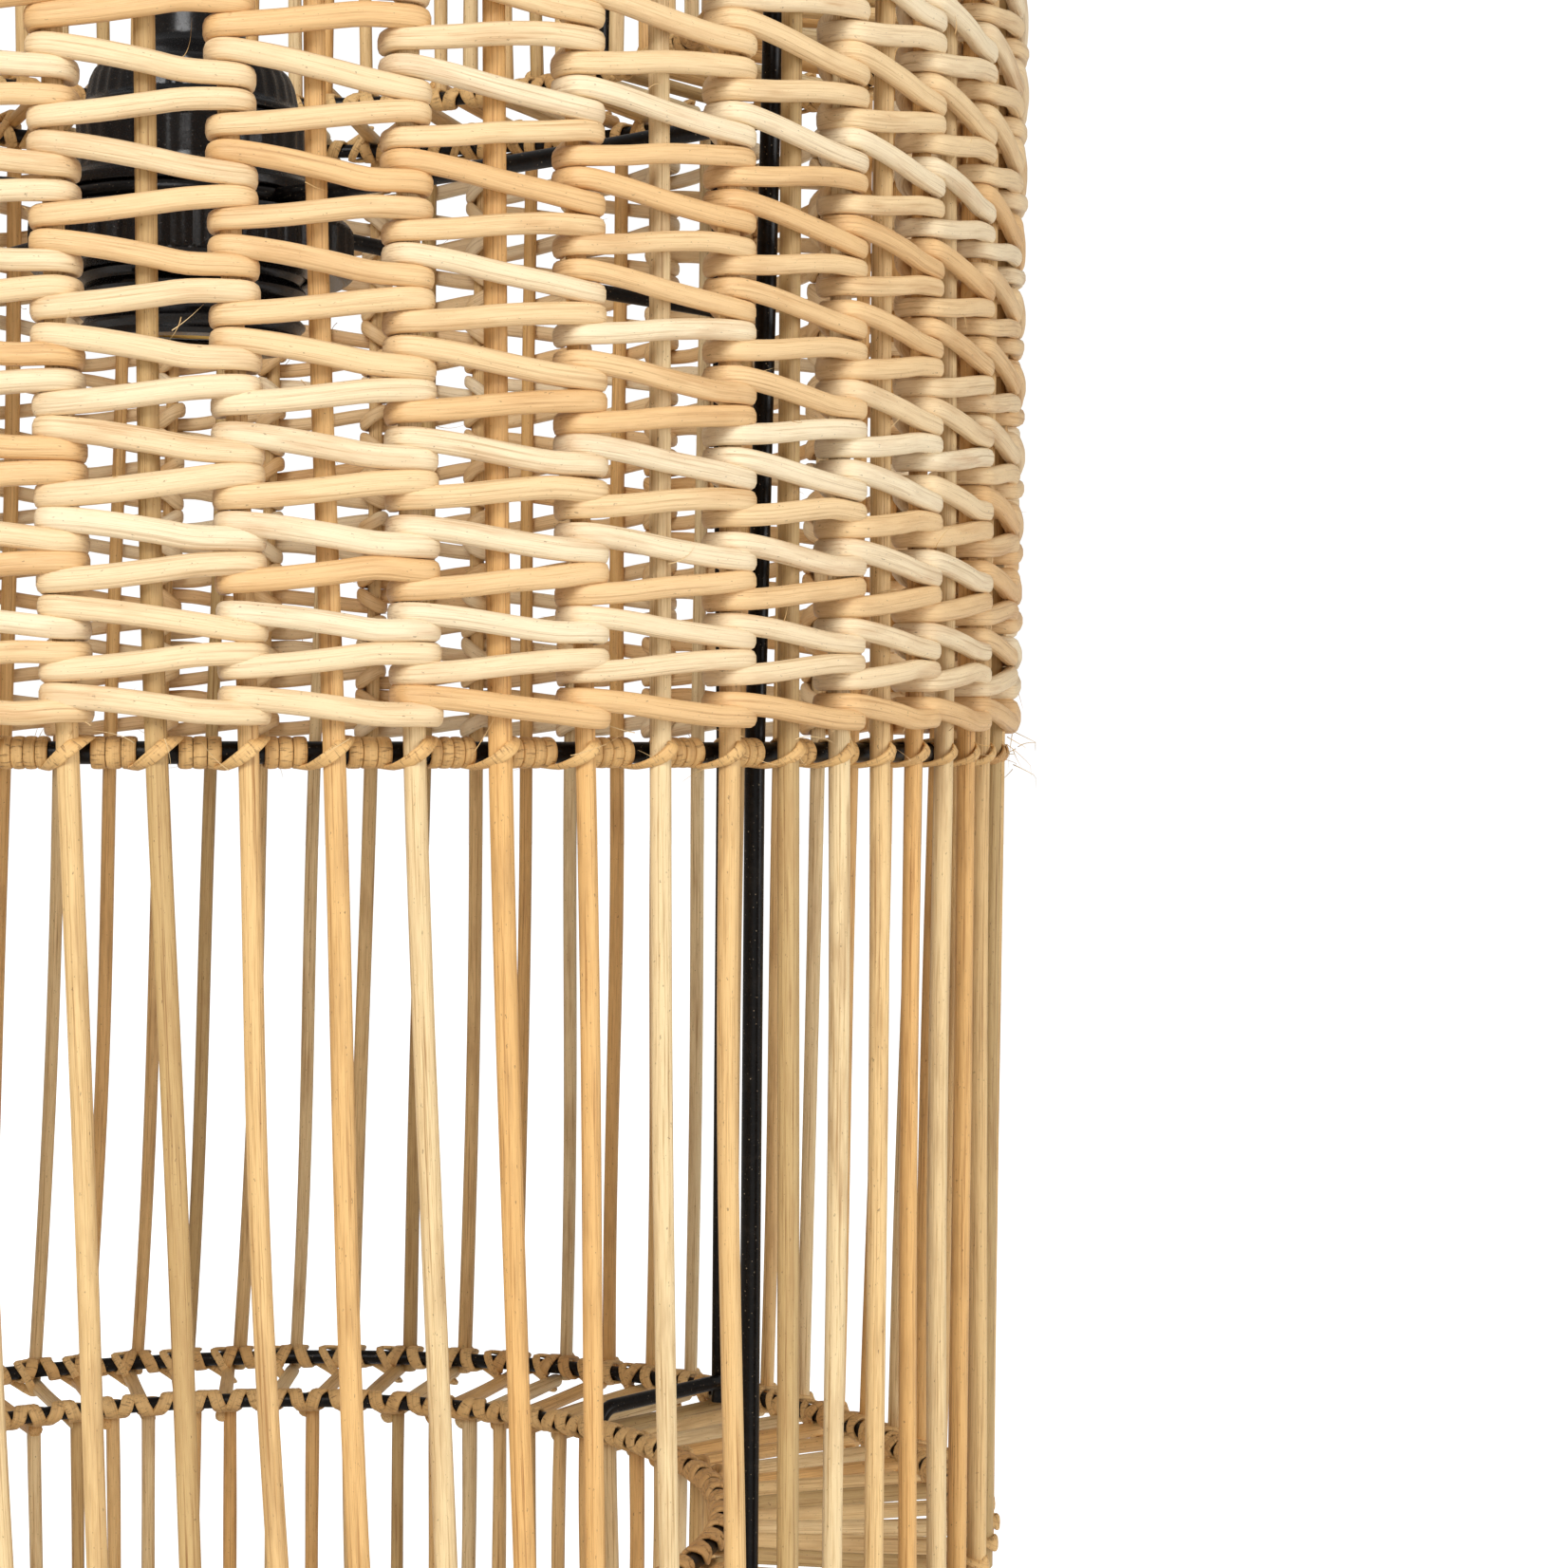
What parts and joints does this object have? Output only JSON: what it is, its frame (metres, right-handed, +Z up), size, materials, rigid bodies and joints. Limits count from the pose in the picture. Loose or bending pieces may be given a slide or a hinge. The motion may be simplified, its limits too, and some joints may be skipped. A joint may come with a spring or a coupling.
{
  "type": "woven rattan pendant lamp",
  "caption": "Pendant lamp: a drum of upright rattan stakes on a black wire frame, woven over its upper half, with stick shoulders and necks and a screw lampholder inside.",
  "frame": {"origin": "on the lamp's axis, at the top of the lampholder's cable grip, where the cord that holds it up enters", "axes": "+Z up along the lamp's axis; -Y is the front"},
  "size_m": [0.2982, 0.2982, 0.396],
  "materials": {
    "black_wire": "gloss black paint, dusty",
    "rattan": "natural golden tan core, fine grain along the rod",
    "weft": "natural pale straw core, satin",
    "bakelite": "moulded black, semi-gloss",
    "porcelain": "unglazed white",
    "brass": "stamped sheet",
    "steel": "zinc plated"
  },
  "bodies": {
    "holder": {"holder_body": "bakelite", "holder_cap": "bakelite", "cap_nipple": "steel", "cable_grip": "bakelite", "grip_screw": "bakelite", "lamp_insert": "porcelain", "thread_sleeve": "brass", "side_contact": "brass", "terminal_screw_1": "steel", "terminal_screw_2": "steel"},
    "contact": {"centre_contact": "brass"},
    "clamp": {"shade_ring": "bakelite"},
    "shade": {"top_ring": "black_wire", "middle_ring": "black_wire", "bottom_ring": "black_wire", "drum_post_1": "black_wire", "drum_post_2": "black_wire", "drum_post_3": "black_wire", "drum_post_4": "black_wire", "top_shoulder_ring": "black_wire", "top_neck_ring": "black_wire", "top_neck_wire_1": "black_wire", "top_neck_wire_2": "black_wire", "top_neck_wire_3": "black_wire", "top_neck_wire_4": "black_wire", "bottom_shoulder_ring": "black_wire", "bottom_neck_ring": "black_wire", "bottom_neck_wire_1": "black_wire", "bottom_neck_wire_2": "black_wire", "bottom_neck_wire_3": "black_wire", "bottom_neck_wire_4": "black_wire", "spider_ring": "black_wire", "spider_arm_1": "black_wire", "spider_arm_2": "black_wire", "spider_arm_3": "black_wire", "spider_arm_4": "black_wire", "drum_stakes_1": "rattan", "drum_stakes_2": "rattan", "drum_stakes_3": "rattan", "drum_stakes_4": "rattan", "drum_stakes_5": "rattan", "drum_stakes_6": "rattan", "drum_stakes_7": "rattan", "drum_stakes_8": "rattan", "top_shoulder_sticks": "rattan", "top_neck_sticks_1": "rattan", "top_neck_sticks_2": "rattan", "top_neck_sticks_3": "rattan", "top_neck_sticks_4": "rattan", "bottom_shoulder_sticks": "rattan", "bottom_neck_sticks_1": "rattan", "bottom_neck_sticks_2": "rattan", "bottom_neck_sticks_3": "rattan", "bottom_neck_sticks_4": "rattan", "woven_band": "weft"}
  },
  "joints": [
    {"name": "shade_drop", "type": "slide", "parent": "holder", "child": "shade", "axis": [0, 0, -1], "range_m": [0, 0.01]},
    {"name": "shade_ring_unscrew", "type": "slide", "parent": "holder", "child": "clamp", "axis": [0, 0, -1], "range_m": [0, 0.01]},
    {"name": "contact_press", "type": "slide", "parent": "holder", "child": "contact", "axis": [0, 0, 1], "range_m": [0, 0.0015], "stiffness_N_per_m": 1500}
  ],
  "couplings": [
    {"joint": "shade_ring_unscrew", "follows": "shade_drop", "ratio": 1}
  ]
}
